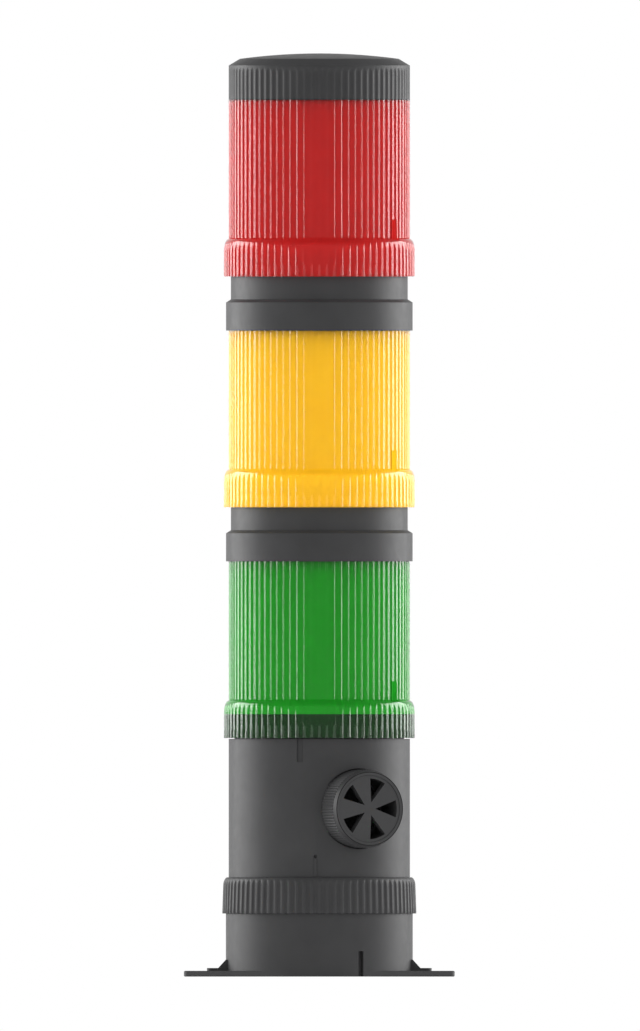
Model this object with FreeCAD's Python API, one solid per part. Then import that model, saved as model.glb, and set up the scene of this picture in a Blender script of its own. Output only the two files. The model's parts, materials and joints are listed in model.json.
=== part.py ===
"""Stack light: three lit tiers on a buzzer module, on a base with two screw ears.

Millimetres, +Z up. The origin is the centre of the base's underside. The front faces -Y and the screw ears
lie along X. Places round the tower are given in degrees from the front, positive towards +X.
"""
import FreeCAD, Part
import math
import os

from FreeCAD import Vector

# ------------------------------------------------------------------ tower series
tier_diameter = 50.0  # lenses, buzzer housing and top cap
tier_names = ("green", "yellow", "red")
flute_count = 80
tier_gap = 0.2  # between the buzzer housing's shoulder and the lowest grip ring

# ------------------------------------------------------------------ fits
face_gap = 0.3  # between round faces that turn past each other
running_gap = 0.05  # radial gap of a pin in its hole
seat_gap = 0.05  # radial gap of a piece pressed or bonded into its seat

# ------------------------------------------------------------------ base
base_step = 0.78  # radius beyond the tiers'
base_height = 17.4
base_wall = 2.5
base_floor = 2.0
cable_hole_diameter = 16.0
cable_lip_wall = 1.6
cable_lip_height = 4.0
deck_thickness = 2.0
deck_ledge_width = 1.7  # carries the contact board
ear_span = 74.72
ear_thickness = 1.6
ear_tip_width = 12.0
ear_corner = 1.9
ear_bevel = 0.25
ear_hole_diameter = 3.4
ear_hole_setback = 3.36  # from the ear's tip
ear_pad_reach = 5.22  # from the base's wall
ear_pad_width = 10.0
ear_pad_thickness = 0.77
ear_pad_corner = 1.5
gusset_height = 4.69
gusset_reach = 2.12  # from the base's wall, on top of the pad
gusset_thickness = 1.2
notch_angle = 26.5
notch_width = 1.5
notch_depth = 1.5
notch_height = 7.0

# ------------------------------------------------------------------ base neck and lock ring
neck_wall = 2.0
neck_gap = 0.6  # the O-ring fills it
neck_waist_step = 1.0
snap_lip_reach = 0.9
snap_lip_thickness = 1.0
lock_ring_height = 10.0
lock_ring_wall = 1.22
lock_ring_taper = 0.26
lock_ring_flute = 0.38
lock_ring_flange = 2.5
lock_ring_plain = 1.0  # smooth shoulder above the flutes
lock_ring_run_out = 1.1
lock_ring_shoulder_step = 0.27
lock_ring_top_step = 0.62
lock_lug_rise = 1.1  # above the buzzer housing's underside
lock_lug_reach = 1.1
lock_lug_thickness = 1.8

# ------------------------------------------------------------------ bayonets
bayonet_count = 3
bayonet_angle = 24.0  # width of a lug
bayonet_twist = 30.0  # turn from locked to free
bayonet_side_gap = 1.0  # degrees beside a lug
bayonet_end_gap = 0.3  # above and below a lug

# ------------------------------------------------------------------ buzzer module
buzzer_height = 38.2  # from the lock ring to the shoulder
buzzer_wall = 2.8
buzzer_skirt_wall = 2.4
buzzer_plate_thickness = 2.0
buzzer_ledge_thickness = 2.0
buzzer_board_width = 30.0
buzzer_recess_angle = -12.4
buzzer_recess_width = 1.7
buzzer_recess_height = 6.3
buzzer_recess_depth = 0.5
pointer_angle = -2.5
pointer_width = 0.7
pointer_height = 5.0
pointer_proud = 0.35
pointer_dot_diameter = 1.0
pointer_dot_depth = 0.8
pointer_dot_rise = 5.7  # above the lock ring

# ------------------------------------------------------------------ sounder
sounder_angle = 26.0
sounder_drop = 19.3  # axis below the housing's shoulder
sounder_seat_depth = 1.6  # of the round seat that takes the cap's rim
sounder_cap_diameter = 21.7
sounder_cap_depth = 8.0
sounder_cap_wall = 1.2
sounder_cap_face = 1.1
sounder_cap_bevel = 0.62
sounder_cap_bevel_depth = 1.5
sounder_cap_flute = 0.25
sounder_face_recess = 0.15
sounder_face_border = 0.95
sounder_knurl_count = 84
sounder_pin_diameter = 2.2
sounder_pin_length = 3.1
sounder_boss_wall = 0.9
opening_count = 5
opening_apex = 1.8
opening_reach = 8.4
opening_half_angle = 16.4
shutter_thickness = 1.1
shutter_seat = 0.5
clip_diameter = 5.2
clip_thickness = 0.5
capsule_diameter = 19.0
capsule_depth = 8.0
capsule_wall = 1.2
capsule_mouth_diameter = 12.0
piezo_thickness = 0.4
piezo_seat = 1.0
screen_thickness = 0.4
screen_ledge = 0.6
screen_ledge_depth = 1.0
chip_size = (5.0, 4.0, 1.7)  # across, up and proud of the board, as below
chip_place = (0.0, -10.0)
oscillator_size = (7.0, 3.0, 1.2)
oscillator_place = (0.0, 5.5)
inductor_diameter = 6.0
inductor_height = 3.0
inductor_place = (-9.0, -8.0)
capacitor_diameter = 6.4
capacitor_height = 6.0
capacitor_place = (9.5, -8.5)

# ------------------------------------------------------------------ lit tiers
grip_step = 1.32  # radius beyond the lens
grip_height = 10.5
grip_shoulder_height = 3.1
grip_run_out = 2.0
grip_shoulder_step = 0.34
grip_flute = 0.34
lens_height = 38.25
lens_flute = 0.28
lens_wall = 1.8
lens_top_wall = 1.5
lens_neck_step = 2.1  # neck's radius within the lens's
lens_neck_wall = 1.9
lens_neck_height = 5.0
lens_lug_reach = 0.8
lens_lug_thickness = 1.6
lens_lug_rise = 1.5
lens_slot_angle = 56.5
lens_slot_width = 2.0
lens_slot_depth = 0.8
lens_slot_low = 9.9
lens_slot_high = 15.7
collar_step = 0.75  # radius beyond the lens
collar_height = 7.75
collar_bevel_height = 0.85
collar_neck_step = 0.6  # neck's radius within the lens's
collar_neck_height = 6.32
diffuser_gap = 0.6
diffuser_wall = 1.2
spigot_rise = 1.5  # above the lens's top, in its neck

# ------------------------------------------------------------------ coupling between tiers
coupling_wall = 2.1
coupling_lug_reach = 1.2
coupling_lug_thickness = 1.8
coupling_lug_drop = 4.2
skirt_wall = 1.4
skirt_drop = 5.3
skirt_clearance = 0.6  # between the skirt's end and the tracks
plate_rise = 6.4
plate_thickness = 2.0
plate_step = 0.5  # shoulder in the lens that the plate meets
seal_groove_depth = 0.7
seal_groove_height = 1.3
seal_groove_drop = 1.5
seal_bulge = 0.35
socket_rim_wall = 1.4
rail_width = 3.0
rail_depth = 4.6
rail_height = 6.0

# ------------------------------------------------------------------ contacts and boards
board_thickness = 1.5
board_ledge_width = 1.8
track_thickness = 0.3
track_width = 2.4
track_overrun = 5.0  # degrees past each end of a pin's travel
contact_circle_diameter = 24.0
contact_count = 5
contact_first_angle = 180.0
pin_diameter = 1.5
pin_proud = 1.0
pin_sleeve_wall = 0.9
pin_sleeve_setback = 2.3  # from the pin's tip
led_board_width = 34.0
led_size = 5.0
led_thickness = 1.6
led_columns = 2
led_rows = 4
led_column_pitch = 14.0
led_row_pitch = 9.0

# ------------------------------------------------------------------ base wiring
base_board_rise = 0.5  # seat above the base's rim
board_screw_count = 3
board_screw_inset = 1.3  # from the deck's opening
board_screw_diameter = 2.2
board_screw_head_diameter = 3.8
board_screw_head_height = 1.4
board_screw_length = 5.0
screw_boss_diameter = 4.8
screw_boss_height = 6.0
terminal_ways = 6
terminal_pitch = 4.4
terminal_depth = 10.5
terminal_height = 9.5
terminal_pocket_width = 3.4
terminal_pocket_depth = 4.4
terminal_pocket_height = 6.0
clamp_wall = 0.5
clamp_height = 3.2
clamp_setback = 1.0
terminal_screw_diameter = 2.6
terminal_screw_length = 2.4

# ------------------------------------------------------------------ top cap
cap_band_height = 9.5
cap_flute = 0.28
cap_run_out = 1.2
cap_plain_rim = 0.7
cap_edge_step = 0.1
cap_bevel_height = 1.8
cap_dome_inset = 3.1
cap_dome_height = 1.5
cap_wall = 2.0
cap_seal_height = 1.2
cap_seal_wall = 1.4
cap_seal_gap = 0.1
cap_rib_wall = 2.9

# ------------------------------------------------------------------ radii worked out from the above
tier_radius = tier_diameter / 2
base_radius = tier_radius + base_step
skirt_bore_radius = tier_radius - buzzer_skirt_wall
neck_radius = skirt_bore_radius - neck_gap
neck_bore_radius = neck_radius - neck_wall
deck_opening_radius = neck_bore_radius - deck_ledge_width
waist_radius = neck_radius + neck_waist_step
lock_ring_bore_radius = tier_radius + face_gap
grip_radius = tier_radius + grip_step
grip_bore_radius = tier_radius - lens_wall + plate_step
buzzer_neck_radius = grip_bore_radius - face_gap
coupling_bore_radius = buzzer_neck_radius - coupling_wall
board_ledge_radius = coupling_bore_radius - board_ledge_width
skirt_radius = coupling_bore_radius - face_gap
lens_neck_radius = tier_radius - lens_neck_step
lens_neck_bore_radius = lens_neck_radius - lens_neck_wall
collar_bore_radius = lens_neck_radius + face_gap
contact_radius = contact_circle_diameter / 2
pin_radius = pin_diameter / 2
cap_dome_radius = tier_radius - cap_dome_inset

# ------------------------------------------------------------------ heights worked out from the above
flange_top = base_height + lock_ring_flange
snap_lip_low = flange_top + face_gap
snap_lip_high = snap_lip_low + snap_lip_thickness
buzzer_skirt_base = snap_lip_high + face_gap
lock_lug_low = buzzer_skirt_base + lock_lug_rise
lock_lug_high = lock_lug_low + lock_lug_thickness
lock_ring_top = base_height + lock_ring_height
neck_top = lock_ring_top - face_gap
base_seat = base_height + base_board_rise
base_board_top = base_seat + board_thickness
buzzer_plate_top = lock_ring_top + buzzer_plate_thickness
buzzer_top = lock_ring_top + buzzer_height
sounder_height = buzzer_top - sounder_drop
first_tier_base = buzzer_top + tier_gap
buzzer_neck_top = first_tier_base + plate_rise
board_drop = skirt_drop + skirt_clearance + track_thickness + board_thickness
buzzer_seat = first_tier_base - board_drop
plate_top = plate_rise + plate_thickness  # in a tier, above its base, as the next five are
lens_top = grip_height + lens_height
lens_roof = lens_top - lens_top_wall
tier_pitch = lens_top + collar_height + collar_bevel_height + collar_neck_height
tier_seat = tier_pitch - board_drop
tip_height = board_thickness + track_thickness - board_drop
cap_base = first_tier_base + (len(tier_names) - 1) * tier_pitch + lens_top

# ------------------------------------------------------------------ distances along the sounder's axis
sounder_seat = tier_radius - sounder_seat_depth
sounder_rim = sounder_seat + face_gap
sounder_face = sounder_rim + sounder_cap_depth
sounder_face_back = sounder_face - sounder_cap_face
boss_end = sounder_face_back - face_gap
shutter_back = boss_end - shutter_thickness
boss_radius = sounder_cap_diameter / 2 - sounder_cap_wall - face_gap
boss_bore_radius = boss_radius - sounder_boss_wall
capsule_radius = capsule_diameter / 2
capsule_front = math.sqrt((tier_radius - buzzer_wall) ** 2 - capsule_radius ** 2) - face_gap
capsule_back = capsule_front - capsule_depth
boss_root = capsule_front + face_gap
screen_back = boss_root + face_gap
screen_front = screen_back + screen_thickness


# ------------------------------------------------------------------ shared shapes
def disc(radius, low, high, x=0.0, y=0.0):
    """Upright round bar between two heights."""
    return Part.makeCylinder(radius, high - low, Vector(x, y, low))


def tube(outer, inner, low, high):
    """Upright round wall between two radii and two heights."""
    return disc(outer, low, high).cut(disc(inner, low, high))


def revolved(outline):
    """Solid turned round Z from a closed outline of (radius, height) points."""
    points = [Vector(radius, 0, height) for radius, height in outline]
    points.append(points[0])
    face = Part.Face(Part.makePolygon(points))
    return face.revolve(Vector(0, 0, 0), Vector(0, 0, 1), 360)


def block(width, depth, low, high, x=0.0, y=0.0):
    """Upright rectangular block centred on x, y."""
    return Part.makeBox(width, depth, high - low, Vector(x - width / 2, y - depth / 2, low))


def sector(inner, outer, low, high, start, sweep):
    """Part of a round wall, from one angle about Z over a sweep, in degrees from +X."""
    place = Vector(0, 0, low)
    wedge = Part.makeCylinder(outer, high - low, place, Vector(0, 0, 1), sweep)
    wedge = wedge.cut(Part.makeCylinder(inner, high - low, place, Vector(0, 0, 1), 360))
    return turned(wedge, start)


def turned(shape, angle):
    """Copy of a shape turned about Z."""
    copy = shape.copy()
    copy.rotate(Vector(0, 0, 0), Vector(0, 0, 1), angle)
    return copy


def raised(shape, height):
    """Copy of a shape moved up."""
    copy = shape.copy()
    copy.translate(Vector(0, 0, height))
    return copy


def facing(shape, angle):
    """Copy of a shape modelled towards +X, turned to an angle from the front."""
    return turned(shape, angle - 90)


def fused(shapes):
    """One solid from several that meet."""
    return shapes[0].multiFuse(shapes[1:]).removeSplitter()


def fluted(levels, count):
    """Solid whose outline alternates between a ridge and a valley radius.

    Each level is (height, ridge radius, valley radius). Flutes run straight between levels of one depth, and
    run out where the two radii become one.
    """
    corners = 2 * count
    rings = []
    for height, ridge, valley in levels:
        ring = []
        for corner in range(corners):
            angle = math.pi * corner / count
            radius = valley if corner % 2 else ridge
            ring.append(Vector(radius * math.cos(angle), radius * math.sin(angle), height))
        rings.append(ring)
    outlines = [rings[0][::-1], rings[-1]]
    for lower, upper in zip(rings, rings[1:]):
        for corner in range(corners):
            ahead = (corner + 1) % corners
            side = [lower[corner], lower[ahead], upper[ahead], upper[corner]]
            outlines.extend(split_side(side, corner % 2))
    faces = [Part.Face(Part.makePolygon(outline + outline[:1])) for outline in outlines]
    shell = Part.Shell(faces)
    return Part.Solid(shell)


def split_side(side, starts_in_valley):
    """One flat outline for a side that is flat, or its two triangles."""
    across = (side[1] - side[0]).cross(side[2] - side[0])
    if abs(across.normalize().dot(side[3] - side[0])) < 1e-7:
        return [side]
    if starts_in_valley:
        return [[side[0], side[1], side[3]], [side[1], side[2], side[3]]]
    return [[side[0], side[1], side[2]], [side[0], side[2], side[3]]]


def bayonet_lugs(inner, outer, low, high):
    """Lugs on a round wall, spaced evenly."""
    lug = sector(inner, outer, low, high, -bayonet_angle / 2, bayonet_angle)
    return [turned(lug, 360 * number / bayonet_count) for number in range(bayonet_count)]


def bayonet_slots(inner, outer, low, high, mouth, sense):
    """Cutters for L slots: a level run for the twist, and a way from its end to the mouth.

    low and high are the lug's own heights. sense is the side to which the lug travels.
    """
    width = bayonet_angle + 2 * bayonet_side_gap
    floor = low - bayonet_end_gap
    roof = high + bayonet_end_gap
    run_start = -width / 2 if sense > 0 else -width / 2 - bayonet_twist
    entry_start = sense * bayonet_twist - width / 2
    run = sector(inner, outer, floor, roof, run_start, width + bayonet_twist)
    entry = sector(inner, outer, min(floor, mouth), max(roof, mouth), entry_start, width)
    slot = run.fuse(entry)
    return [turned(slot, 360 * number / bayonet_count) for number in range(bayonet_count)]


def contact_angles():
    """Angles of the contact pins, from the front."""
    return [contact_first_angle + 360 * number / contact_count for number in range(contact_count)]


def contact_points():
    """Places of the contact pins on the contact circle."""
    return [facing(Part.Vertex(contact_radius, 0, 0), angle).Point for angle in contact_angles()]


def contact_tracks(low):
    """Arc tracks under the pins, long enough for the pins' travel in the twist."""
    inner = contact_radius - track_width / 2
    outer = contact_radius + track_width / 2
    sweep = bayonet_twist + 2 * track_overrun
    track = sector(inner, outer, low, low + track_thickness, -track_overrun, sweep)
    return Part.makeCompound([facing(track, angle) for angle in contact_angles()])


def contact_pins(tip, head):
    """Upright pins from their tips to their heads."""
    pins = [disc(pin_radius, tip, head, place.x, place.y) for place in contact_points()]
    return Part.makeCompound(pins)


def pin_sleeves(tip, plate):
    """Sleeves that hang from a plate round its pins."""
    radius = pin_radius + pin_sleeve_wall
    low = tip + pin_sleeve_setback
    return [disc(radius, low, plate, place.x, place.y) for place in contact_points()]


def pin_holes(tip, plate):
    """Cutters for the pins' holes through a plate and its sleeves."""
    radius = pin_radius + running_gap
    return [disc(radius, tip, plate, place.x, place.y) for place in contact_points()]


def seal_ring(outer, inner, low, high):
    """O-ring pressed flat against the groove's floor and sides."""
    return revolved([
        (inner, low),
        (outer - seal_bulge, low),
        (outer, low + seal_bulge),
        (outer, high - seal_bulge),
        (outer - seal_bulge, high),
        (inner, high),
    ])


def sounder_placed(shape):
    """Copy of a shape modelled along +Z, laid on the sounder's axis with its own +Y up."""
    angle = math.radians(sounder_angle)
    across = Vector(math.cos(angle), math.sin(angle), 0)
    outward = Vector(math.sin(angle), -math.cos(angle), 0)
    rotation = FreeCAD.Rotation(across, Vector(0, 0, 1), outward, "ZXY")
    copy = shape.copy()
    copy.Placement = FreeCAD.Placement(Vector(0, 0, sounder_height), rotation)
    return copy


# ------------------------------------------------------------------ base
def ear_plate():
    """Plate whose sides leave the base on tangents and end in the ears' tips."""
    tip_x = ear_span / 2
    tip_y = ear_tip_width / 2
    tangent = math.atan2(tip_y, tip_x) + math.acos(base_radius / math.hypot(tip_x, tip_y))
    root_x = base_radius * math.cos(tangent)
    root_y = base_radius * math.sin(tangent)
    right = [(root_x, -root_y), (tip_x, -tip_y), (tip_x, tip_y), (root_x, root_y)]
    left = [(-x, -y) for x, y in right]
    points = [Vector(x, y, 0) for x, y in right + left]
    plate = Part.Face(Part.makePolygon(points + points[:1])).extrude(Vector(0, 0, ear_thickness))
    plate = plate.makeFillet(ear_corner, upright_edges(plate, tip_x))
    level_edges = [edge for face in plate.Faces if face.normalAt(0, 0).z ** 2 > 0.5 for edge in face.Edges]
    return plate.makeChamfer(ear_bevel, level_edges)


def upright_edges(shape, distance):
    """Upright edges of a shape at this distance from the YZ plane."""
    found = []
    for edge in shape.Edges:
        start = edge.Vertexes[0].Point
        end = edge.Vertexes[-1].Point
        upright = math.hypot(start.x - end.x, start.y - end.y) < 1e-6
        if upright and abs(abs(start.x) - distance) < 1e-6:
            found.append(edge)
    return found


def ear_pads():
    """Raised pad at each ear's root, with rounded outer corners."""
    reach = base_radius + ear_pad_reach
    pads = block(2 * reach, ear_pad_width, 0, ear_thickness + ear_pad_thickness)
    return pads.makeFillet(ear_pad_corner, upright_edges(pads, reach))


def gussets():
    """Four triangular ribs that brace the ears against the base's wall."""
    pad_top = ear_thickness + ear_pad_thickness
    root = base_radius - base_wall / 2
    outline = [
        (root, ear_thickness),
        (base_radius + gusset_reach, ear_thickness),
        (base_radius + gusset_reach, pad_top),
        (base_radius, gusset_height),
        (root, gusset_height),
    ]
    points = [Vector(x, -ear_pad_width / 2, z) for x, z in outline]
    near = Part.Face(Part.makePolygon(points + points[:1])).extrude(Vector(0, gusset_thickness, 0))
    far = near.copy()
    far.translate(Vector(0, ear_pad_width - gusset_thickness, 0))
    return [near, far, turned(near, 180), turned(far, 180)]


def board_screw_points():
    """Places of the screws that hold the contact board in the base's neck."""
    step = math.radians(360 / board_screw_count)
    angles = [math.radians(90) + number * step for number in range(board_screw_count)]
    radius = deck_opening_radius - board_screw_inset
    return [(radius * math.cos(angle), radius * math.sin(angle)) for angle in angles]


def make_base_housing():
    """Round wall with a floor, a deck and a neck, on a plate with two braced ears."""
    bore = base_radius - base_wall
    deck_low = base_height - deck_thickness
    cable_radius = cable_hole_diameter / 2
    lip = cable_radius + cable_lip_wall
    groove = neck_radius - seal_groove_depth
    groove_high = neck_top - seal_groove_drop
    groove_low = groove_high - seal_groove_height
    body = revolved([
        (cable_radius, 0),
        (base_radius, 0),
        (base_radius, base_height),
        (waist_radius, base_height),
        (waist_radius, snap_lip_low),
        (waist_radius + snap_lip_reach, snap_lip_low),
        (waist_radius + snap_lip_reach, snap_lip_high),
        (neck_radius, snap_lip_high),
        (neck_radius, groove_low),
        (groove, groove_low),
        (groove, groove_high),
        (neck_radius, groove_high),
        (neck_radius, neck_top),
        (neck_bore_radius, neck_top),
        (neck_bore_radius, base_seat),
        (deck_opening_radius, base_seat),
        (deck_opening_radius, deck_low),
        (bore, deck_low),
        (bore, base_floor),
        (lip, base_floor),
        (lip, cable_lip_height),
        (cable_radius, cable_lip_height),
    ])
    boss_radius = screw_boss_diameter / 2
    boss_low = base_seat - screw_boss_height
    bosses = [disc(boss_radius, boss_low, base_seat, x, y) for x, y in board_screw_points()]
    feet = ear_plate().multiFuse([ear_pads()] + gussets())
    feet = feet.cut(disc(base_radius - base_wall / 2, 0, base_height))
    body = fused([body, feet] + bosses)
    thread_low = base_seat - board_screw_length
    thread = board_screw_diameter / 2
    cutters = [disc(thread, thread_low, base_seat, x, y) for x, y in board_screw_points()]
    for side in (-1, 1):
        x = side * (ear_span / 2 - ear_hole_setback)
        cutters.append(disc(ear_hole_diameter / 2, 0, ear_thickness, x, 0))
    notch = block(2 * notch_depth, notch_width, 0, notch_height, base_radius, 0)
    cutters.append(facing(notch, notch_angle))
    return body.cut(cutters)


def make_base_board():
    """Round contact board that drops into the base's neck."""
    board = disc(neck_bore_radius - seat_gap, base_seat, base_board_top)
    radius = board_screw_diameter / 2 + running_gap
    holes = [disc(radius, base_seat, base_board_top, x, y) for x, y in board_screw_points()]
    return board.cut(holes)


def make_base_board_screws():
    """Screws through the contact board into the base's bosses."""
    shank_low = base_seat - board_screw_length
    head_top = base_board_top + board_screw_head_height
    screws = []
    for x, y in board_screw_points():
        shank = disc(board_screw_diameter / 2, shank_low, base_board_top, x, y)
        head = disc(board_screw_head_diameter / 2, base_board_top, head_top, x, y)
        screws.append(fused([shank, head]))
    return Part.makeCompound(screws)


def terminal_places():
    """Middle of each way of the terminal block, along X."""
    middle = (terminal_ways - 1) / 2
    return [(way - middle) * terminal_pitch for way in range(terminal_ways)]


def terminal_screw_height():
    """Height of the terminal screws' axes, in the middle of the clamps."""
    return base_seat - terminal_height + clamp_setback + clamp_height / 2


def make_terminal_block():
    """Block under the contact board, with a wire pocket from below and a screw hole for each way."""
    low = base_seat - terminal_height
    body = block(terminal_ways * terminal_pitch, terminal_depth, low, base_seat)
    pocket_high = low + terminal_pocket_height
    hole_radius = terminal_screw_diameter / 2 + running_gap
    reach = terminal_depth / 2 - terminal_pocket_depth / 2
    cutters = []
    for x in terminal_places():
        cutters.append(block(terminal_pocket_width, terminal_pocket_depth, low, pocket_high, x, 0))
        start = Vector(x, -terminal_depth / 2, terminal_screw_height())
        cutters.append(Part.makeCylinder(hole_radius, reach, start, Vector(0, 1, 0)))
    return body.cut(cutters)


def make_wire_clamps():
    """Square cages, one in each pocket, that the screws draw on to the wires."""
    low = base_seat - terminal_height + clamp_setback
    high = low + clamp_height
    width = terminal_pocket_width - 2 * seat_gap
    depth = terminal_pocket_depth - 2 * seat_gap
    cages = []
    for x in terminal_places():
        hollow = block(width - 2 * clamp_wall, depth - 2 * clamp_wall, low, high, x, 0)
        cages.append(block(width, depth, low, high, x, 0).cut(hollow))
    return Part.makeCompound(cages)


def make_terminal_screws():
    """Screws that bear on the clamps from the block's front."""
    back = seat_gap - terminal_pocket_depth / 2
    screws = []
    for x in terminal_places():
        start = Vector(x, back, terminal_screw_height())
        screw = Part.makeCylinder(terminal_screw_diameter / 2, terminal_screw_length, start, Vector(0, -1, 0))
        screws.append(screw)
    return Part.makeCompound(screws)


def make_base_seal():
    """O-ring between the base's neck and the buzzer housing."""
    high = neck_top - seal_groove_drop
    outer = skirt_bore_radius - seat_gap
    return seal_ring(outer, neck_radius - seal_groove_depth, high - seal_groove_height, high)


def make_lock_ring():
    """Grip ring with an inward flange under the base's snap lip and inward lugs for the buzzer housing."""
    top = lock_ring_bore_radius + lock_ring_wall
    bottom = top + lock_ring_taper
    valley_share = 1 - lock_ring_flute / bottom
    plain = top - lock_ring_shoulder_step
    plain_low = lock_ring_top - lock_ring_plain
    body = fluted([
        (base_height, bottom, bottom * valley_share),
        (plain_low - lock_ring_run_out, top, top * valley_share),
        (plain_low, plain, plain),
        (lock_ring_top, top - lock_ring_top_step, top - lock_ring_top_step),
    ], flute_count)
    hollow = disc(waist_radius + face_gap, base_height, flange_top)
    hollow = hollow.fuse(disc(lock_ring_bore_radius, flange_top, lock_ring_top))
    lug_inner = lock_ring_bore_radius - lock_lug_reach
    lugs = bayonet_lugs(lug_inner, lock_ring_bore_radius, lock_lug_low, lock_lug_high)
    return body.cut(hollow.cut(lugs))


# ------------------------------------------------------------------ buzzer module
def opening_cutters(apex, reach, low, high):
    """Wedge openings: a point near the middle, straight sides and a round outer end."""
    half = math.radians(opening_half_angle)
    corner_x = reach * math.cos(half)
    corner_y = reach * math.sin(half)
    start = Vector(corner_x, -corner_y, low)
    end = Vector(corner_x, corner_y, low)
    point = Vector(apex, 0, low)
    sides = [
        Part.makeLine(point, start),
        Part.Arc(start, Vector(reach, 0, low), end).toShape(),
        Part.makeLine(end, point),
    ]
    wedge = Part.Face(Part.Wire(sides)).extrude(Vector(0, 0, high - low))
    return [turned(wedge, 360 * number / opening_count) for number in range(opening_count)]


def housing_marks():
    """Cutters for the alignment recess and for the dot above the pointer."""
    recess_low = buzzer_top - buzzer_recess_height
    recess = block(2 * buzzer_recess_depth, buzzer_recess_width, recess_low, buzzer_top, tier_radius, 0)
    start = Vector(tier_radius - pointer_dot_depth, 0, lock_ring_top + pointer_dot_rise)
    dot = Part.makeCylinder(pointer_dot_diameter / 2, 2 * pointer_dot_depth, start, Vector(1, 0, 0))
    return [facing(recess, buzzer_recess_angle), facing(dot, pointer_angle)]


def make_buzzer_housing():
    """Tube with the sounder's boss, a neck for the lowest tier and a skirt for the lock ring."""
    bore = tier_radius - buzzer_wall
    ledge_low = buzzer_seat - buzzer_ledge_thickness
    body = revolved([
        (skirt_bore_radius, buzzer_skirt_base),
        (tier_radius, buzzer_skirt_base),
        (tier_radius, buzzer_top),
        (buzzer_neck_radius, buzzer_top),
        (buzzer_neck_radius, buzzer_neck_top),
        (coupling_bore_radius, buzzer_neck_top),
        (coupling_bore_radius, buzzer_seat),
        (board_ledge_radius, buzzer_seat),
        (board_ledge_radius, ledge_low),
        (bore, ledge_low),
        (bore, buzzer_plate_top),
        (skirt_bore_radius, buzzer_plate_top),
    ])
    boss = sounder_placed(disc(boss_radius, boss_root, boss_end))
    seat_radius = sounder_cap_diameter / 2 + face_gap
    body = body.cut(sounder_placed(disc(seat_radius, sounder_seat, tier_radius + face_gap)))
    pointer_low = lock_ring_top + face_gap
    pointer_high = pointer_low + pointer_height
    pointer = block(2 * pointer_proud, pointer_width, pointer_low, pointer_high, tier_radius, 0)
    body = fused([body, boss, facing(pointer, pointer_angle)])
    ledge_front = screen_front + screen_ledge_depth
    cutters = [
        sounder_placed(disc(boss_bore_radius, 0, screen_front)),
        sounder_placed(disc(boss_bore_radius - screen_ledge, screen_front, ledge_front)),
        sounder_placed(disc(boss_bore_radius, ledge_front, shutter_back)),
        sounder_placed(disc(boss_bore_radius + shutter_seat, shutter_back, boss_end)),
    ]
    lock_floor = lock_ring_bore_radius - lock_lug_reach - face_gap
    mouth = buzzer_skirt_base
    cutters += bayonet_slots(lock_floor, lock_ring_bore_radius, lock_lug_low, lock_lug_high, mouth, 1)
    cutters += coupling_slots(first_tier_base, buzzer_neck_top)
    return body.cut(cutters + housing_marks())


def coupling_slots(tier_base, mouth):
    """Cutters for the slots that take the lugs of the tier above."""
    outer = coupling_bore_radius + coupling_lug_reach
    low = tier_base - coupling_lug_drop
    return bayonet_slots(skirt_radius, outer, low, low + coupling_lug_thickness, mouth, 1)


def make_buzzer_socket():
    """Plate that closes the housing's underside and holds the pins over the base's tracks."""
    tip = base_board_top + track_thickness
    plate = disc(skirt_bore_radius - seat_gap, lock_ring_top, buzzer_plate_top)
    return fused([plate] + pin_sleeves(tip, buzzer_plate_top)).cut(pin_holes(tip, buzzer_plate_top))


def make_buzzer_board():
    """Upright board behind the sounder, from the socket plate to the contact board."""
    low = buzzer_plate_top - sounder_height
    height = buzzer_seat - buzzer_plate_top
    corner = Vector(-buzzer_board_width / 2, low, capsule_back - board_thickness)
    return sounder_placed(Part.makeBox(buzzer_board_width, height, board_thickness, corner))


def make_buzzer_board_parts():
    """Driver chip, oscillator, inductor and capacitor on the board's back."""
    back = capsule_back - board_thickness
    parts = []
    for (width, height, proud), (x, y) in ((chip_size, chip_place), (oscillator_size, oscillator_place)):
        corner = Vector(x - width / 2, y - height / 2, back - proud)
        parts.append(Part.makeBox(width, height, proud, corner))
    inductor = disc(inductor_diameter / 2, back - inductor_height, back, *inductor_place)
    capacitor = disc(capacitor_diameter / 2, back - capacitor_height, back, *capacitor_place)
    return sounder_placed(Part.makeCompound(parts + [inductor, capacitor]))


def make_sounder_capsule():
    """Cup with a seat for the sounding disc and a round mouth towards the openings."""
    inner = capsule_radius - capsule_wall
    mouth = capsule_mouth_diameter / 2
    floor = capsule_back + capsule_wall
    seat = capsule_back + capsule_depth / 2
    cup = revolved([
        (0, capsule_back),
        (capsule_radius, capsule_back),
        (capsule_radius, capsule_front),
        (mouth, capsule_front),
        (mouth, capsule_front - capsule_wall),
        (inner, capsule_front - capsule_wall),
        (inner, seat),
        (inner - piezo_seat, seat),
        (inner - piezo_seat, floor),
        (0, floor),
    ])
    return sounder_placed(cup)


def make_piezo_disc():
    """Sounding disc on its seat halfway up the capsule."""
    low = capsule_back + capsule_depth / 2
    return sounder_placed(disc(capsule_radius - capsule_wall - seat_gap, low, low + piezo_thickness))


def make_sounder_screen():
    """Splash screen against the ledge in the boss."""
    return sounder_placed(disc(boss_bore_radius - seat_gap, screen_back, screen_front))


def make_shutter_disc():
    """Fixed disc whose openings the cap covers as it turns."""
    plate = disc(boss_bore_radius + shutter_seat - seat_gap, shutter_back, boss_end)
    cutters = opening_cutters(opening_apex, boss_bore_radius, shutter_back, boss_end)
    cutters.append(disc(sounder_pin_diameter / 2 + running_gap, shutter_back, boss_end))
    return sounder_placed(plate.cut(cutters))


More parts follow.
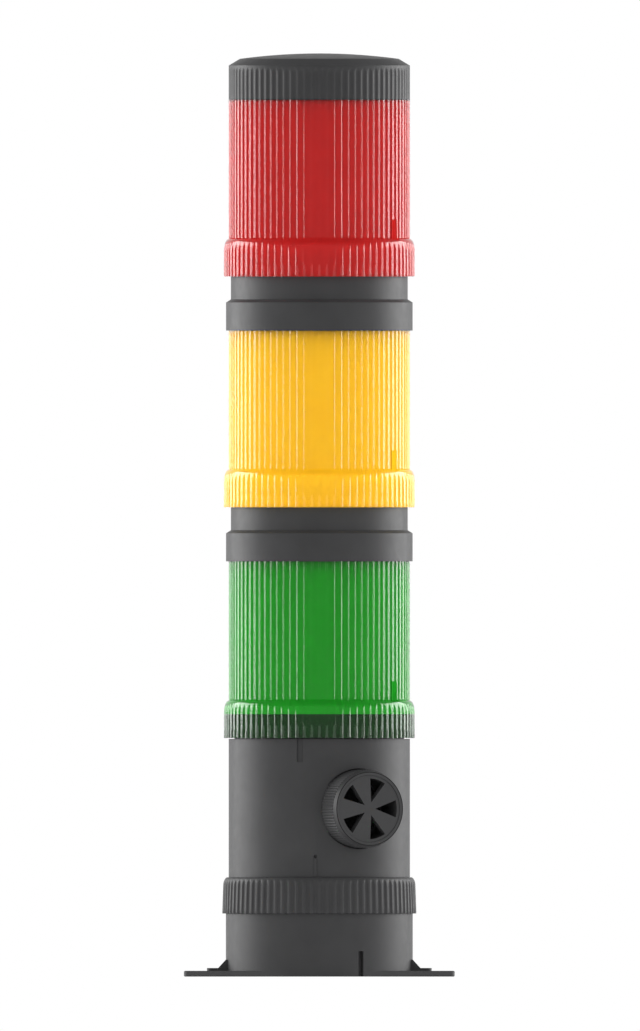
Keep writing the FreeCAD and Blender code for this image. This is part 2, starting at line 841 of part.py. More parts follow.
def make_sounder_cap():
    """Turning cap: knurled rim, face with wedge openings, and a pin on its inside."""
    outer = sounder_cap_diameter / 2
    valley = outer - sounder_cap_flute
    shoulder = sounder_face - sounder_cap_bevel_depth
    face_radius = outer - sounder_cap_bevel
    body = fluted([
        (sounder_rim, outer, valley),
        (shoulder, outer, valley),
        (shoulder + sounder_cap_flute, valley, valley),
        (sounder_face, face_radius, face_radius),
    ], sounder_knurl_count)
    cutters = [disc(outer - sounder_cap_wall, sounder_rim, sounder_face_back)]
    recess = face_radius - sounder_face_border
    cutters.append(disc(recess, sounder_face - sounder_face_recess, sounder_face))
    cutters += opening_cutters(opening_apex, opening_reach, sounder_face_back, sounder_face)
    pin = disc(sounder_pin_diameter / 2, sounder_face_back - sounder_pin_length, sounder_face_back)
    return sounder_placed(fused([body.cut(cutters), pin]))


def make_cap_clip():
    """Round clip on the end of the cap's pin, behind the fixed disc."""
    front = shutter_back - face_gap
    back = front - clip_thickness
    return sounder_placed(tube(clip_diameter / 2, sounder_pin_diameter / 2, back, front))


# ------------------------------------------------------------------ lit tiers, each on a base at height 0
def make_lens():
    """Fluted lens with its grip ring below and a plain neck with lugs above, moulded as one."""
    plain = grip_radius - grip_shoulder_step
    straight = grip_height - grip_shoulder_height
    body = fluted([
        (0, grip_radius, grip_radius - grip_flute),
        (straight, grip_radius, grip_radius - grip_flute),
        (straight + grip_run_out, plain, plain),
        (grip_height, tier_radius, tier_radius - lens_flute),
        (lens_top, tier_radius, tier_radius - lens_flute),
    ], flute_count)
    neck_end = lens_top + lens_neck_height
    lug_low = lens_top + lens_lug_rise
    lug_outer = lens_neck_radius + lens_lug_reach
    lugs = bayonet_lugs(lens_neck_bore_radius, lug_outer, lug_low, lug_low + lens_lug_thickness)
    neck = disc(lens_neck_radius, lens_top, neck_end)
    hollow = revolved([
        (0, 0),
        (grip_bore_radius, 0),
        (grip_bore_radius, plate_top),
        (tier_radius - lens_wall, plate_top),
        (tier_radius - lens_wall, lens_roof),
        (lens_neck_bore_radius, lens_roof),
        (lens_neck_bore_radius, neck_end),
        (0, neck_end),
    ])
    slot = block(2 * lens_slot_depth, lens_slot_width, lens_slot_low, lens_slot_high, tier_radius, 0)
    return body.multiFuse([neck] + lugs).cut([hollow, facing(slot, lens_slot_angle)])


def make_diffuser():
    """Sleeve behind the lens, from the socket's plate to the roof, with a spigot in the lens's neck."""
    outer = tier_radius - lens_wall - diffuser_gap
    spigot = lens_neck_bore_radius - seat_gap
    spigot_top = lens_top + spigot_rise
    shoulder = lens_roof - diffuser_wall
    return revolved([
        (outer, plate_top),
        (outer, lens_roof),
        (spigot, lens_roof),
        (spigot, spigot_top),
        (spigot - diffuser_wall, spigot_top),
        (spigot - diffuser_wall, shoulder),
        (outer - diffuser_wall, shoulder),
        (outer - diffuser_wall, plate_top),
    ])


def make_socket(rim_low):
    """Plate bonded into the lens, with a rim down to a height, and a skirt that locks in the neck below."""
    inner = skirt_radius - skirt_wall
    groove = skirt_radius - seal_groove_depth
    groove_high = seal_groove_height - seal_groove_drop
    plate_radius = grip_bore_radius - seat_gap
    body = revolved([
        (0, plate_rise),
        (inner, plate_rise),
        (inner, -skirt_drop),
        (skirt_radius, -skirt_drop),
        (skirt_radius, -seal_groove_drop),
        (groove, -seal_groove_drop),
        (groove, groove_high),
        (skirt_radius, groove_high),
        (skirt_radius, plate_rise),
        (plate_radius, plate_rise),
        (plate_radius, plate_top),
        (0, plate_top),
    ])
    lug_outer = coupling_bore_radius + coupling_lug_reach - face_gap
    lug_high = coupling_lug_thickness - coupling_lug_drop
    lugs = bayonet_lugs(inner, lug_outer, -coupling_lug_drop, lug_high)
    rail_top = plate_top + rail_height
    rail_places = (-led_board_width / 2, led_board_width / 2)
    rails = [block(rail_width, rail_depth, plate_rise, rail_top, x, 0) for x in rail_places]
    rim = tube(plate_radius, plate_radius - socket_rim_wall, rim_low, plate_top)
    body = fused([body, rim] + lugs + rails + pin_sleeves(tip_height, plate_top))
    slot_width = led_board_width + 2 * seat_gap
    board_slot = block(slot_width, board_thickness + 2 * seat_gap, plate_top, rail_top)
    return body.cut([board_slot] + pin_holes(tip_height, plate_top))


def make_tier_seal():
    """O-ring on the socket's skirt."""
    outer = coupling_bore_radius - running_gap
    high = seal_groove_height - seal_groove_drop
    return seal_ring(outer, skirt_radius - seal_groove_depth, -seal_groove_drop, high)


def make_led_board():
    """Upright board from the socket's plate to the contact board of the tier above."""
    return block(led_board_width, board_thickness, plate_top, tier_seat)


def make_leds():
    """Square lamps in rows on both faces of the board."""
    middle = (plate_top + lens_roof) / 2
    proud = (board_thickness + led_thickness) / 2
    lamps = []
    for row in range(led_rows):
        low = middle + (row - (led_rows - 1) / 2) * led_row_pitch - led_size / 2
        for column in range(led_columns):
            x = (column - (led_columns - 1) / 2) * led_column_pitch
            for y in (-proud, proud):
                lamps.append(block(led_size, led_thickness, low, low + led_size, x, y))
    return Part.makeCompound(lamps)


def neck_slots(neck_base):
    """Cutters for the slots that take the lugs on a lens's neck, in the piece above it."""
    outer = lens_neck_radius + lens_lug_reach + face_gap
    low = neck_base + lens_lug_rise
    return bayonet_slots(lens_neck_radius, outer, low, low + lens_lug_thickness, neck_base, -1)


def make_collar():
    """Black collar on the lens's neck, and the neck that carries the tier above."""
    outer = tier_radius + collar_step
    neck = tier_radius - collar_neck_step
    ledge_low = lens_top + lens_neck_height + seat_gap
    body = revolved([
        (collar_bore_radius, lens_top),
        (outer, lens_top),
        (outer, lens_top + collar_height),
        (neck, lens_top + collar_height + collar_bevel_height),
        (neck, tier_pitch),
        (coupling_bore_radius, tier_pitch),
        (coupling_bore_radius, tier_seat),
        (board_ledge_radius, tier_seat),
        (board_ledge_radius, ledge_low),
        (collar_bore_radius, ledge_low),
    ])
    return body.cut(neck_slots(lens_top) + coupling_slots(tier_pitch, tier_pitch))


def make_contact_board(seat):
    """Round contact board on the ledge in a neck."""
    return disc(coupling_bore_radius - seat_gap, seat, seat + board_thickness)


# ------------------------------------------------------------------ top cap
def make_top_cap():
    """Fluted band with a plain rim, a bevel and a shallow dome, hollow beneath."""
    band_top = cap_base + cap_band_height
    rim_low = band_top - cap_plain_rim
    bevel_top = band_top + cap_bevel_height
    band = fluted([
        (cap_base, tier_radius, tier_radius - cap_flute),
        (rim_low - cap_run_out, tier_radius, tier_radius - cap_flute),
        (rim_low, tier_radius, tier_radius),
        (band_top, tier_radius, tier_radius),
    ], flute_count)
    bevel = revolved([
        (0, band_top),
        (tier_radius - cap_edge_step, band_top),
        (cap_dome_radius, bevel_top),
        (0, bevel_top),
    ])
    sphere = (cap_dome_radius ** 2 + cap_dome_height ** 2) / (2 * cap_dome_height)
    ball = Part.makeSphere(sphere, Vector(0, 0, bevel_top + cap_dome_height - sphere))
    dome = ball.common(disc(cap_dome_radius, bevel_top, bevel_top + cap_dome_height))
    seal_roof = cap_base + lens_neck_height + cap_seal_height + cap_seal_gap
    hollow = [
        disc(collar_bore_radius, cap_base, seal_roof),
        disc(lens_neck_radius - cap_rib_wall, seal_roof, bevel_top - cap_wall),
    ]
    return band.multiFuse([bevel, dome]).cut(hollow + neck_slots(cap_base))


def make_cap_seal():
    """Flat ring on the top lens's neck, under the cap."""
    low = cap_base + lens_neck_height
    outer = lens_neck_radius - seat_gap
    return tube(outer, outer - cap_seal_wall, low, low + cap_seal_height)


# ------------------------------------------------------------------ all pieces
def build_pieces():
    """Every piece of the tower by name."""
    base_tip = base_board_top + track_thickness
    pieces = {
        "base_housing": make_base_housing(),
        "base_board": make_base_board(),
        "base_contact_pads": contact_tracks(base_board_top),
        "base_board_screws": make_base_board_screws(),
        "terminal_block": make_terminal_block(),
        "wire_clamps": make_wire_clamps(),
        "terminal_screws": make_terminal_screws(),
        "base_seal": make_base_seal(),
        "lock_ring": make_lock_ring(),
        "buzzer_housing": make_buzzer_housing(),
        "buzzer_socket": make_buzzer_socket(),
        "buzzer_contact_pins": contact_pins(base_tip, buzzer_plate_top),
        "buzzer_board": make_buzzer_board(),
        "buzzer_board_parts": make_buzzer_board_parts(),
        "buzzer_contact_board": make_contact_board(buzzer_seat),
        "buzzer_contact_pads": contact_tracks(buzzer_seat + board_thickness),
        "sounder_capsule": make_sounder_capsule(),
        "piezo_disc": make_piezo_disc(),
        "sounder_screen": make_sounder_screen(),
        "shutter_disc": make_shutter_disc(),
        "sounder_cap": make_sounder_cap(),
        "cap_clip": make_cap_clip(),
        "top_cap": make_top_cap(),
        "cap_seal": make_cap_seal(),
    }
    tier = {
        "lens": make_lens(),
        "diffuser": make_diffuser(),
        "contact_pins": contact_pins(tip_height, plate_top + pin_proud),
        "seal": make_tier_seal(),
        "led_board": make_led_board(),
        "leds": make_leds(),
    }
    carrier = {
        "collar": make_collar(),
        "contact_board": make_contact_board(tier_seat),
        "contact_pads": contact_tracks(tier_seat + board_thickness),
    }
    for number, colour in enumerate(tier_names):
        lift = first_tier_base + number * tier_pitch
        held = dict(tier)
        held["socket"] = make_socket(plate_rise if number == 0 else face_gap)
        if number < len(tier_names) - 1:
            held.update(carrier)
        for name, shape in held.items():
            pieces[f"{colour}_{name}"] = raised(shape, lift)
    return pieces


os.makedirs("parts", exist_ok=True)
for piece_name, piece_shape in build_pieces().items():
    piece_shape.exportStep(f"parts/{piece_name}.step")
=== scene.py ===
"""Studio picture of a stack light: finely fluted mouldings, materials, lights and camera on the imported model.

Pieces are modelled in millimetres and stored in metres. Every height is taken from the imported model's own boxes.
"""

import json
import math

import bmesh
import bpy
import numpy as np
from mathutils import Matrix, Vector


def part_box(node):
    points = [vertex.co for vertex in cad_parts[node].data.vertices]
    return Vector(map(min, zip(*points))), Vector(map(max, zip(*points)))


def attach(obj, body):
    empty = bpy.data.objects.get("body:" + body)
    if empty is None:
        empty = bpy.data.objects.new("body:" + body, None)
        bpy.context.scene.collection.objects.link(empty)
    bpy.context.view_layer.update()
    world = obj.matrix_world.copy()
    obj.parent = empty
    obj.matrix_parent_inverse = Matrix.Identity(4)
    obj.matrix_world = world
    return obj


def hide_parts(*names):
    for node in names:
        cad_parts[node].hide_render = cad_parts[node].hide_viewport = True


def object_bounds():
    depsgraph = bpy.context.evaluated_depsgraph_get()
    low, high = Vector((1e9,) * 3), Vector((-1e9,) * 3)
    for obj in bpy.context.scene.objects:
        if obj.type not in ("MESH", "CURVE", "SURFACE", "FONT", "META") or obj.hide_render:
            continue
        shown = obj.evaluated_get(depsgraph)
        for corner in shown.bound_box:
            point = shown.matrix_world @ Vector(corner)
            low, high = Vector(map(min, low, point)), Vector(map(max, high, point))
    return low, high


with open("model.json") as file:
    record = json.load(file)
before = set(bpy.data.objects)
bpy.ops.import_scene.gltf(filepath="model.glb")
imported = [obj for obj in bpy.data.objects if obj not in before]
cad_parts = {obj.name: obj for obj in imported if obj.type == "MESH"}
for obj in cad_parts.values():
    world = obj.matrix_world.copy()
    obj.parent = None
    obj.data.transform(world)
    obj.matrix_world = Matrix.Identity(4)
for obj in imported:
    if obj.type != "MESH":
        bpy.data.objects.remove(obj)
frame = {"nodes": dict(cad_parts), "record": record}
cad_low, cad_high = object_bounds()
nodes = frame["nodes"]

MM = 0.001
tier_names = ("green", "yellow", "red")
crease_degrees = 38  # edges sharper than this stay sharp

# Sizes in millimetres. Heights are above the lowest point of the piece, and azimuths are degrees from the front.
flute_count = 80
flute_land = 0.22  # share of the pitch that is left flat between two grooves
tier_radius = 25.0
bore_radius = 23.2
bore_low, bore_high = 8.45, 48.6  # the lens's bore, just clear of the socket's rim under it
neck_top = 6.6  # of the neck that the grip ring closes over
neck_bore_radius = 21.0
grip_bore_radius = 23.7
mark_azimuth = 56.5
sounder_azimuth = 26.0


# ------------------------------------------------------------------ turned surfaces
def rows_between(outline, longest, closed=True):
    """Outline with no side longer than the given length: each side is divided evenly."""
    outline = np.asarray(outline, float)
    ahead = np.roll(outline, -1, axis=0) if closed else outline[1:]
    behind = outline if closed else outline[:-1]
    rows = []
    for start, end in zip(behind, ahead):
        parts = max(1, math.ceil(np.linalg.norm(end - start) / longest))
        for part in range(parts):
            rows.append(start + (end - start) * part / parts)
    if not closed:
        rows.append(outline[-1])
    return np.array(rows)


def scallop(angle, count, land):
    """Cross-section of evenly spaced grooves: 1 - (p / w)^2 within w of a groove's middle, and 0 on the lands.

    p is the phase from the groove's middle, -0.5 to 0.5 of the pitch, and w = (1 - land) / 2.
    """
    phase = (angle * count / (2 * math.pi)) % 1 - 0.5
    width = (1 - land) / 2
    return np.clip(1 - (phase / width) ** 2, 0, 1)


def surface(name, points, wrap_rows):
    """Mesh of a grid of points (row, column, xyz) in millimetres. Columns wrap round; rows wrap if asked.

    A row of zero radius at an end becomes one pole point.
    """
    rows, columns, _ = points.shape
    index = np.arange(rows * columns).reshape(rows, columns)
    below = index if wrap_rows else index[:-1]
    above = np.roll(index, -1, axis=0) if wrap_rows else index[1:]
    quads = np.stack([below, np.roll(below, -1, axis=1), np.roll(above, -1, axis=1), above], axis=-1)
    quads = quads.reshape(-1, 4)
    mesh = bpy.data.meshes.new(name)
    mesh.from_pydata((points.reshape(-1, 3) * MM).tolist(), [], quads.tolist())
    mesh.validate()
    obj = bpy.data.objects.new(name, mesh)
    bpy.context.scene.collection.objects.link(obj)
    weld(mesh)
    mesh.shade_smooth()
    mesh.set_sharp_from_angle(angle=math.radians(crease_degrees))
    return obj


def weld(mesh):
    """Joins points that share a place, so that poles and seams are closed."""
    work = bmesh.new()
    work.from_mesh(mesh)
    bmesh.ops.remove_doubles(work, verts=work.verts, dist=1e-7)
    bmesh.ops.dissolve_degenerate(work, edges=work.edges, dist=1e-8)
    work.to_mesh(mesh)
    work.free()


def turned(name, radii, heights, angles, wrap_rows=True):
    """Surface of points (r cos a, r sin a, z). radii is (row, column), heights (row), angles (column)."""
    grid = np.empty((*radii.shape, 3))
    grid[..., 0] = radii * np.cos(angles)
    grid[..., 1] = radii * np.sin(angles)
    grid[..., 2] = np.asarray(heights)[:, None]
    return surface(name, grid, wrap_rows)


def azimuths(count, samples):
    """Column angles with the given number of samples to a flute."""
    return np.arange(count * samples) * 2 * math.pi / (count * samples)


def fluted_grid(outline, longest, samples, land, closed=True):
    """Turned outline before its grooves are cut.

    Gives the radii (row, column), each row's plain radius and height, the columns' angles and the scallop there.
    """
    rows = rows_between(outline, longest, closed)
    angles = azimuths(flute_count, samples)
    radii = np.repeat(rows[:, :1], len(angles), axis=1)
    return radii, rows[:, 0], rows[:, 1], angles, scallop(angles, flute_count, land)


def from_front(degrees):
    """Angle about +Z of a place given in degrees from the front, positive towards +X."""
    return math.radians(degrees - 90)


def node_low(node):
    """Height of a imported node's lowest point, in millimetres."""
    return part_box(node)[0].z / MM


# ------------------------------------------------------------------ lens with its grip ring
def make_lens(colour):
    """Lens moulding of one tier.

    r(a, z) = R(z) - max(0, d s(a) - l(z)): R is the outline, s the scallops, d their depth, and l how far the
    shoulder has come in from the grip's radius, so that each groove runs out in an arch. The mark's slot is a
    ramp, deepest at its far side.
    """
    base = node_low(f"{colour}_lens")
    grip, lens, depth = 26.32, tier_radius, 0.35
    outer_wall = 24.5  # rows beyond this radius belong to the outer wall
    seam, roof_edge = 10.5, 48.72
    slot_low, slot_high, slot_half_width = 10.05, 15.7, 1.3
    slot_radius, slot_slope = 24.0, 0.5
    outline = [
        (grip_bore_radius, 0.0), (26.12, 0.0), (26.27, 0.05), (grip, 0.2),
        (grip, 7.0), (26.28, 7.6), (26.2, 8.3), (26.1, 8.8), (25.98, 9.3), (25.82, 9.7), (25.62, 10.0),
        (25.36, 10.26), (25.12, 10.38), (24.86, seam), (lens, seam + 0.12), (lens, 15.66), (lens, 15.72),
        (lens, roof_edge), (lens - 0.03, 48.75), (22.9, 48.75), (22.9, 53.6), (22.75, 53.75), (21.15, 53.75),
        (neck_bore_radius, 53.6), (neck_bore_radius, bore_high), (bore_radius, bore_high),
        (bore_radius, bore_low), (grip_bore_radius, bore_low), (grip_bore_radius, neck_top),
    ]
    radii, plain, heights, angles, cut = fluted_grid(outline, 4.0, 20, flute_land)
    outside = plain > outer_wall
    on_grip = outside & (heights < seam)
    on_lens = outside & (heights >= seam) & (heights <= roof_edge)
    lift = (grip - plain[on_grip])[:, None]
    radii[on_grip] -= np.maximum(0, depth * cut - lift)
    radii[on_lens] -= depth * cut
    along = ((angles - from_front(mark_azimuth) + math.pi) % (2 * math.pi) - math.pi) * tier_radius
    in_slot = np.abs(along) <= slot_half_width
    slot_rows = outside & (heights >= slot_low) & (heights <= slot_high)
    slot = np.ix_(slot_rows, in_slot)
    radii[slot] = np.minimum(radii[slot], slot_radius - slot_slope * along[in_slot])
    moulding = turned(f"{colour}_lens_moulding", radii, heights + base, angles)
    mark_bores(moulding.data, base)
    return moulding


def mark_bores(mesh, base):
    """Second material on the bores with their fine prisms, third where the lowest grip covers a black neck; on the
    green tier the third holds painted shade of that neck.
    """
    near = 0.05
    centres = np.empty(3 * len(mesh.polygons), np.float32)
    mesh.polygons.foreach_get("center", centres)
    centres = centres.reshape(-1, 3) / MM
    radius = np.hypot(centres[:, 0], centres[:, 1])
    height = centres[:, 2] - base
    in_neck = radius < neck_bore_radius + near
    in_lens = (radius < grip_bore_radius + near) & (height < bore_high + near)
    underside = height < 0.01
    # on the green tier these faces get the neck's painted shade
    over_neck = (in_lens & (height < neck_top)) | underside
    places = np.select([over_neck, in_neck | in_lens], [2, 1])
    mesh.polygons.foreach_set("material_index", places.astype(np.int32))


# ------------------------------------------------------------------ top cap
def make_top_cap():
    """Cap: r(a, z) = R(z) - max(0, d s(a) - l(z)) on the band, where l rises as a square towards the rim.

    The dome is z = z0 + h (1 - (r / r0)^2), a shallow sphere to a hundredth of a millimetre.
    """
    base = node_low("top_cap")
    rim, skirt_bore, hollow = tier_radius, 23.2, 20.0
    skirt_roof, hollow_roof = 6.3, 9.3
    band, bevel_top, dome_radius, dome_height = 9.5, 11.3, 21.9, 1.49
    depth, run_start, run_end = 0.28, 7.4, 8.75
    dome_steps = np.linspace(1, 0, 13)[1:]
    dome = [(dome_radius * step, bevel_top + dome_height * (1 - step * step)) for step in dome_steps]
    outline = [(0.0, hollow_roof), (hollow, hollow_roof), (hollow, skirt_roof), (skirt_bore, skirt_roof)]
    outline += [(skirt_bore, 0.0), (24.9, 0.0), (rim, 0.1)]
    outline += [(rim, height) for height in np.linspace(run_start, run_end, 8)]
    outline += [(rim, band - 0.12), (24.97, band - 0.03), (24.88, band + 0.02)]
    outline += [(dome_radius + 0.12, bevel_top - 0.06), (dome_radius, bevel_top)] + dome
    radii, plain, heights, angles, cut = fluted_grid(outline, 1.6, 16, flute_land, closed=False)
    on_band = (plain > rim - 0.001) & (heights < band)
    rise = np.clip((heights[on_band] - run_start) / (run_end - run_start), 0, 1.2) ** 2
    radii[on_band] -= np.maximum(0, depth * (cut - rise[:, None]))
    return turned("cap_moulding", radii, heights + base, angles, wrap_rows=False)


# ------------------------------------------------------------------ lock ring
def make_lock_ring():
    """Lock ring: the lens's groove formula on a tapered grip with a rounded shoulder."""
    base = node_low("lock_ring")
    grip, depth, land = 26.52, 0.38, 0.3
    bore, flange_bore, flange_top = 25.3, 23.3, 2.5
    outline = [
        (flange_bore, 0.0), (26.6, 0.0), (26.74, 0.06), (26.77, 0.2), (grip, 7.6), (26.5, 8.1), (26.42, 8.6),
        (26.3, 9.0), (26.14, 9.35), (25.94, 9.65), (25.7, 9.88), (25.5, 9.98), (25.35, 10.0), (bore, 9.9),
        (bore, flange_top), (flange_bore, flange_top),
    ]
    radii, plain, heights, angles, cut = fluted_grid(outline, 1.6, 16, land)
    outside = (plain > bore + 0.15) & (heights > 0.03)
    lift = np.clip(grip - plain[outside], 0, None)[:, None]
    radii[outside] -= np.maximum(0, depth * cut - lift)
    return turned("lock_ring_moulding", radii, heights + base, angles)


# ------------------------------------------------------------------ painted shade of the seams on the sounder's face
def make_painted_seam_shade(name, inner, outer, front):
    """Thin dark ring of painted seam shade round the sounder's axis: c + t n + r (cos a u + sin a w), with n the
    axis and u, w across it.

    t runs from just behind the face to a few thousandths of a millimetre before it.
    """
    behind, before = 0.05, 0.005
    azimuth = from_front(sounder_azimuth)
    axis = np.array([math.cos(azimuth), math.sin(azimuth), 0.0])
    across = np.array([-math.sin(azimuth), math.cos(azimuth), 0.0])
    up = np.array([0.0, 0.0, 1.0])
    centre = up * (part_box("sounder_cap")[0].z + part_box("sounder_cap")[1].z) / 2 / MM
    angles = azimuths(96, 1)[:, None]
    circle = np.cos(angles) * across + np.sin(angles) * up
    low, high = front - behind, front + before
    outline = [(inner, low), (inner, high), (outer, high), (outer, low)]
    rows = [centre + depth * axis + radius * circle for radius, depth in outline]
    return surface(name, np.array(rows), wrap_rows=True)


# ------------------------------------------------------------------ materials
def srgb(code):
    """Linear colour of an sRGB hex code."""
    values = [int(code[start:start + 2], 16) / 255 for start in (1, 3, 5)]
    linear = [v / 12.92 if v <= 0.04045 else ((v + 0.055) / 1.055) ** 2.4 for v in values]
    return (*linear, 1.0)


def add(tree, kind, inputs, **settings):
    """Node of a kind. Settings go first, then each input gets a value or a link from another node's output."""
    node = tree.nodes.new(kind)
    for key, value in settings.items():
        setattr(node, key, value)
    for key, value in inputs.items():
        if isinstance(value, bpy.types.NodeSocket):
            tree.links.new(value, node.inputs[key])
        else:
            node.inputs[key].default_value = value
    return node


def new_material(name):
    """Material with an empty node tree, and that tree."""
    material = bpy.data.materials.new(name)
    material.use_nodes = True
    material.node_tree.nodes.clear()
    return material, material.node_tree


def add_surface(tree, inputs):
    """Principled surface, joined to the material's output."""
    shader = add(tree, "ShaderNodeBsdfPrincipled", inputs)
    add(tree, "ShaderNodeOutputMaterial", {"Surface": shader.outputs["BSDF"]})


def noise(tree, size_mm, detail=2.0):
    """Noise over the object's own coordinates, with blobs of about the given size."""
    coords = add(tree, "ShaderNodeTexCoord", {})
    inputs = {"Vector": coords.outputs["Object"], "Scale": 1 / (size_mm * MM), "Detail": detail}
    return add(tree, "ShaderNodeTexNoise", inputs).outputs["Fac"]


def ramp(tree, value, ends, levels, interpolation="LINEAR"):
    """Value that goes from one level to another between two ends."""
    inputs = {"Value": value, "From Min": ends[0], "From Max": ends[1], "To Min": levels[0], "To Max": levels[1]}
    return add(tree, "ShaderNodeMapRange", inputs, interpolation_type=interpolation).outputs["Result"]


def spread(tree, fac, low, high):
    """Value that runs from low to high as a noise runs over its usual range."""
    return ramp(tree, fac, (0.3, 0.7), (low, high))


def tinted(tree, fac, first, second):
    """Colour that drifts between two hex codes with a noise."""
    inputs = {"Factor": spread(tree, fac, 0, 1), "A": srgb(first), "B": srgb(second)}
    return add(tree, "ShaderNodeMix", inputs, data_type="RGBA").outputs["Result"]


def moulded(name, first, second, roughness, grain_mm, grain_depth_mm, metallic=0.0, specular=0.5):
    """Moulded or rolled surface: slow colour drift, mottled sheen and a fine grain."""
    drift_mm, mottle_mm, sheen = 9.0, 2.2, 0.03
    material, tree = new_material(name)
    bump = add(tree, "ShaderNodeBump", {"Height": noise(tree, grain_mm), "Distance": grain_depth_mm * MM})
    add_surface(tree, {
        "Base Color": tinted(tree, noise(tree, drift_mm), first, second),
        "Roughness": spread(tree, noise(tree, mottle_mm, 3.0), roughness - sheen, roughness + sheen),
        "Normal": bump.outputs["Normal"],
        "Metallic": metallic,
        "Specular IOR Level": specular,
    })
    return material


def clear_tinted(name, first, second):
    """Clear tinted moulding with a slow drift of tint and faint flow marks in the sheen."""
    drift_mm, flow_mm, polycarbonate_ior = 14.0, 3.0, 1.585
    material, tree = new_material(name)
    add_surface(tree, {
        "Base Color": tinted(tree, noise(tree, drift_mm), first, second),
        "Roughness": spread(tree, noise(tree, flow_mm, 3.0), 0.03, 0.07),
        "IOR": polycarbonate_ior,
        "Transmission Weight": 1.0,
    })
    return material


# glass-filled black ABS with a spark-eroded satin surface
black_plastic = moulded("black_abs", "#3e3e3f", "#424243", 0.45, 0.16, 0.006, specular=0.26)
# painted shade: the same black plastic painted darker for the fine seams, where little light reaches
shadowed_plastic = moulded("black_abs_painted_seam_shade", "#161616", "#1a1a1a", 0.7, 0.16, 0.006, specular=0.1)
# injection-moulded clear polycarbonate, tinted, and the same where the bore's fine prisms scatter the light
tints = {
    "green": ("#5bc661", "#57c25d"),
    "yellow": ("#ffe261", "#ffdf5d"),
    "red": ("#de605e", "#da5b59"),
}
lens_plastic, prism_plastic = {}, {}
for colour, (first, second) in tints.items():
    lens_plastic[colour] = clear_tinted(f"{colour}_polycarbonate", first, second)
    prism_plastic[colour] = moulded(f"{colour}_prisms", first, second, 0.6, 0.5, 0.01, specular=0.2)
# painted shade: dark grey painted on the lowest grip ring's bore and underside, standing for the black neck seen
# through the ring
painted_neck_shade = moulded("grip_bore_painted_neck_dark", "#4a4a4b", "#4e4e4f", 0.6, 0.5, 0.01, specular=0.2)
# opal polycarbonate sleeve that spreads the lamps' light
opal = moulded("opal_polycarbonate", "#efefec", "#f4f4f1", 0.55, 0.3, 0.004)
# white PBT sockets
white_plastic = moulded("white_pbt", "#e4e4df", "#eaeae5", 0.5, 0.2, 0.006)
# grey PA66 of the terminal block and the sounder's cup
grey_plastic = moulded("grey_polyamide", "#6d6e70", "#747577", 0.5, 0.2, 0.006)
# FR4 board under green solder resist
circuit_board = moulded("fr4_board", "#0f4a2a", "#145232", 0.35, 0.6, 0.004)
# epoxy-packaged parts
board_parts = moulded("black_epoxy", "#1c1c1d", "#232324", 0.6, 0.12, 0.006)
# gold-plated brass contacts and the brass sounding disc
contact_metal = moulded("plated_brass", "#c9a45a", "#d3b06a", 0.3, 0.5, 0.002, metallic=1.0)
# bright zinc-plated steel
steel = moulded("zinc_plated_steel", "#b9bcc0", "#c6c9cc", 0.35, 0.4, 0.003, metallic=1.0)
# nitrile rubber seals
rubber = moulded("nitrile_rubber", "#161616", "#1d1d1d", 0.75, 0.3, 0.008)
# woven polyester splash screen
screen_mesh = moulded("woven_polyester", "#101010", "#1a1a1a", 0.85, 0.25, 0.03)
# clear epoxy over the lamps' phosphor
lamp_resin = moulded("lamp_resin", "#e6dfae", "#efe8bb", 0.25, 0.5, 0.002)

slot_materials = {
    "black_plastic": black_plastic,
    "green_plastic": lens_plastic["green"],
    "yellow_plastic": lens_plastic["yellow"],
    "red_plastic": lens_plastic["red"],
    "opal_plastic": opal,
    "white_plastic": white_plastic,
    "grey_plastic": grey_plastic,
    "circuit_board": circuit_board,
    "board_parts": board_parts,
    "contact_metal": contact_metal,
    "steel": steel,
    "seal_rubber": rubber,
    "screen_mesh": screen_mesh,
    "lamp_resin": lamp_resin,
}
for part in frame["record"]["subparts"]:
    mesh = nodes[part["node"]].data
    mesh.materials.clear()
    mesh.materials.append(slot_materials[part["material_slot"]])


def dress(piece, body, slot, *replaced):
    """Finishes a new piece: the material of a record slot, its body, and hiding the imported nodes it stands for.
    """
    piece.data.materials.append(slot_materials[slot])
    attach(piece, body)
    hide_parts(*replaced)


for colour in tier_names:
    moulding = make_lens(colour)
    dress(moulding, f"{colour}_tier", f"{colour}_plastic", f"{colour}_lens")
    moulding.data.materials.append(prism_plastic[colour])
    # third slot: painted shade of the black neck seen through the green grip ring
    moulding.data.materials.append(painted_neck_shade if colour == "green" else prism_plastic[colour])
dress(make_top_cap(), "cap", "black_plastic", "top_cap")
# inner and outer radius of each dark ring of painted seam shade, and how far its face stands from the tower's axis
painted_seam_shades = {"sounder_rim_painted_shade": (10.0, 10.2, 31.7), "sounder_face_painted_shade": (9.2, 9.27, 31.55)}
for name, (inner, outer, front) in painted_seam_shades.items():
    seam = make_painted_seam_shade(name, inner, outer, front)
    seam.data.materials.append(shadowed_plastic)
    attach(seam, "sounder_knob")
dress(make_lock_ring(), "lock_ring", "black_plastic", "lock_ring")

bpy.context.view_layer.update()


# ------------------------------------------------------------------ studio
def area_light(name, place, target, width, height, power):
    """Soft rectangular light that faces a target."""
    light = bpy.data.lights.new(name, "AREA")
    light.shape = "RECTANGLE"
    light.size = width
    light.size_y = height
    light.energy = power
    obj = bpy.data.objects.new(name, light)
    bpy.context.scene.collection.objects.link(obj)
    obj.location = place
    direction = np.array(target) - np.array(place)
    yaw = math.atan2(direction[1], direction[0]) - math.pi / 2
    pitch = math.atan2(direction[2], math.hypot(direction[0], direction[1]))
    obj.rotation_euler = (math.pi / 2 + pitch, 0, yaw)
    obj.visible_camera = False


middle = (0.0, 0.0, (cad_low.z + cad_high.z) / 2)
for name, side in (("left_softbox", -1), ("right_softbox", 1)):
    area_light(name, (side * 1.10, 0.42, 0.16), middle, width=1.05, height=1.2, power=18.5)

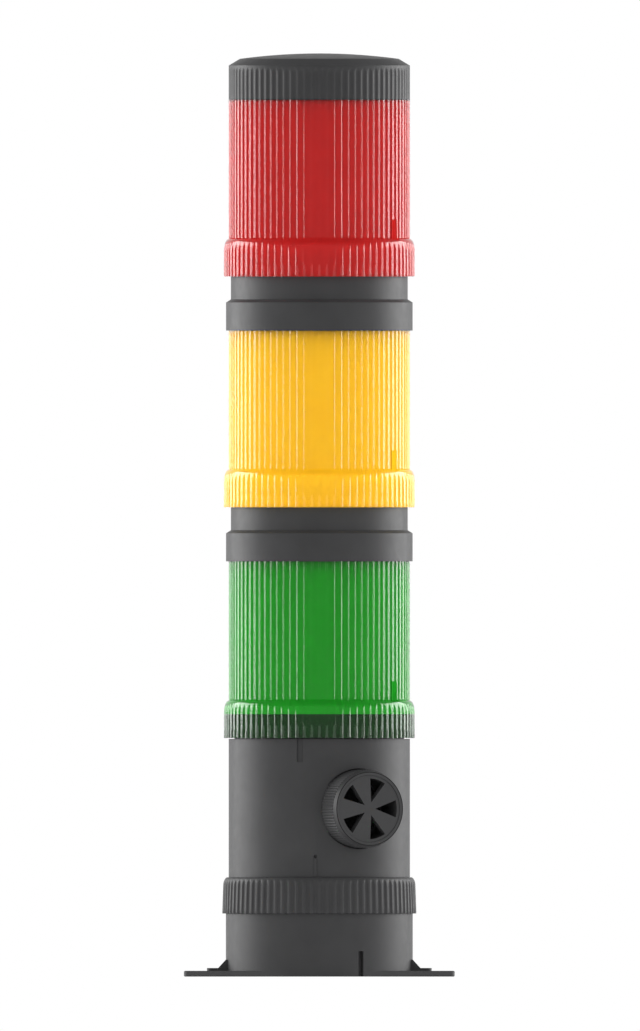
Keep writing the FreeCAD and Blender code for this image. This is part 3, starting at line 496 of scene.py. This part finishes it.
floor_size, floor_gap = 12, 0.0002
bpy.ops.mesh.primitive_plane_add(size=floor_size, location=(0, 0, cad_low.z - floor_gap))
floor = bpy.context.object
floor.name = "floor"
floor_material, floor_tree = new_material("pale_floor")
add_surface(floor_tree, {"Base Color": srgb("#f2f2f2"), "Roughness": 0.8})
floor.data.materials.append(floor_material)


def mixed(tree, factor, first, second):
    """Number between two numbers or outputs by a factor."""
    return add(tree, "ShaderNodeMix", {"Factor": factor, "A": first, "B": second}).outputs["Result"]


def maths(tree, operation, first, second):
    """Result of an operation on two numbers or outputs."""
    return add(tree, "ShaderNodeMath", {0: first, 1: second}, operation=operation).outputs["Value"]


def make_world():
    """White room under a dim ceiling. Glossy rays meet a dim front, as black flags make it.

    What the camera and rays through clear pieces see is plain white, and light on its way into a lens is
    stronger, because the lens's own prisms gather it from all round.
    """
    gathered = 2.6  # brightness of the room for light on its way into a lens
    world = bpy.data.worlds.new("studio")
    bpy.context.scene.world = world
    world.use_nodes = True
    world.cycles.sampling_method = "NONE"
    tree = world.node_tree
    tree.nodes.clear()
    path = add(tree, "ShaderNodeLightPath", {}).outputs
    coords = add(tree, "ShaderNodeTexCoord", {})
    towards = add(tree, "ShaderNodeSeparateXYZ", {"Vector": coords.outputs["Generated"]}).outputs
    depth = ramp(tree, towards["Y"], (-0.5, 0.5), (0.25, 0.9), "SMOOTHSTEP")
    height = ramp(tree, towards["Z"], (0.15, 0.7), (1.0, 0.3), "SMOOTHSTEP")
    ceiling = ramp(tree, towards["Z"], (0.3, 0.9), (1.0, 0.55), "SMOOTHSTEP")
    flagged = maths(tree, "MULTIPLY", depth, height)
    room = mixed(tree, path["Is Glossy Ray"], ceiling, flagged)
    scattered = maths(tree, "MINIMUM", path["Diffuse Depth"], 1.0)
    behind_glass = mixed(tree, scattered, 1.0, gathered)
    seen = maths(tree, "MAXIMUM", path["Is Camera Ray"], path["Is Transmission Ray"])
    level = mixed(tree, seen, room, behind_glass)
    white = add(tree, "ShaderNodeBackground", {"Color": (1, 1, 1, 1), "Strength": level})
    add(tree, "ShaderNodeOutputWorld", {"Surface": white.outputs["Background"]})


make_world()

scene = bpy.context.scene
scene.view_settings.view_transform = "Standard"
# level view of the front, without perspective
camera_data = bpy.data.cameras.new("camera")
camera_data.type = "ORTHO"
camera_data.ortho_scale = 0.28441
camera = bpy.data.objects.new("camera", camera_data)
scene.collection.objects.link(camera)
camera.location = (0.00019, -2.5, 0.12720)
camera.rotation_euler = (math.pi / 2, 0, 0)
scene.camera = camera
